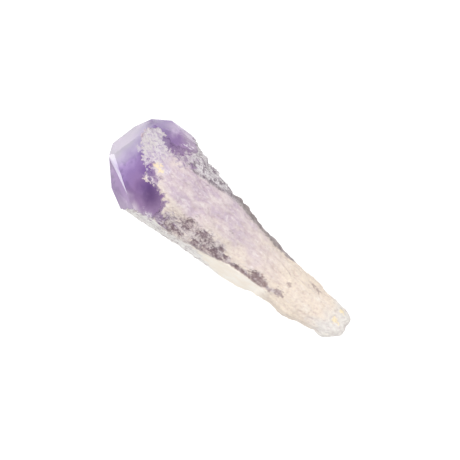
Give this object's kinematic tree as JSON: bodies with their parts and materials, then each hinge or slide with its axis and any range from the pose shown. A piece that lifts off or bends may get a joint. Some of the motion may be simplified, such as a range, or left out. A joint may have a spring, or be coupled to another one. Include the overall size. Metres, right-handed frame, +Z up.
{
  "type": "raw amethyst point",
  "caption": "Raw amethyst crystal point lying on its side: a faceted translucent purple head on a long tapering root in a rough pale crust. For display, study and decoration.",
  "frame": {"origin": "on the surface that the crystal rests on, under the middle of its box", "axes": "+Z up, +X along the crystal from its root tip to its faceted head, +Y towards the side with the smooth cream face"},
  "size_m": [0.0958, 0.0324, 0.0239],
  "materials": {
    "amethyst": "raw translucent quartz: glassy purple faces at the head, matte cream and pale lilac crust on the root"
  },
  "bodies": {
    "root": {"amethyst_point": "amethyst"}
  },
  "joints": []
}
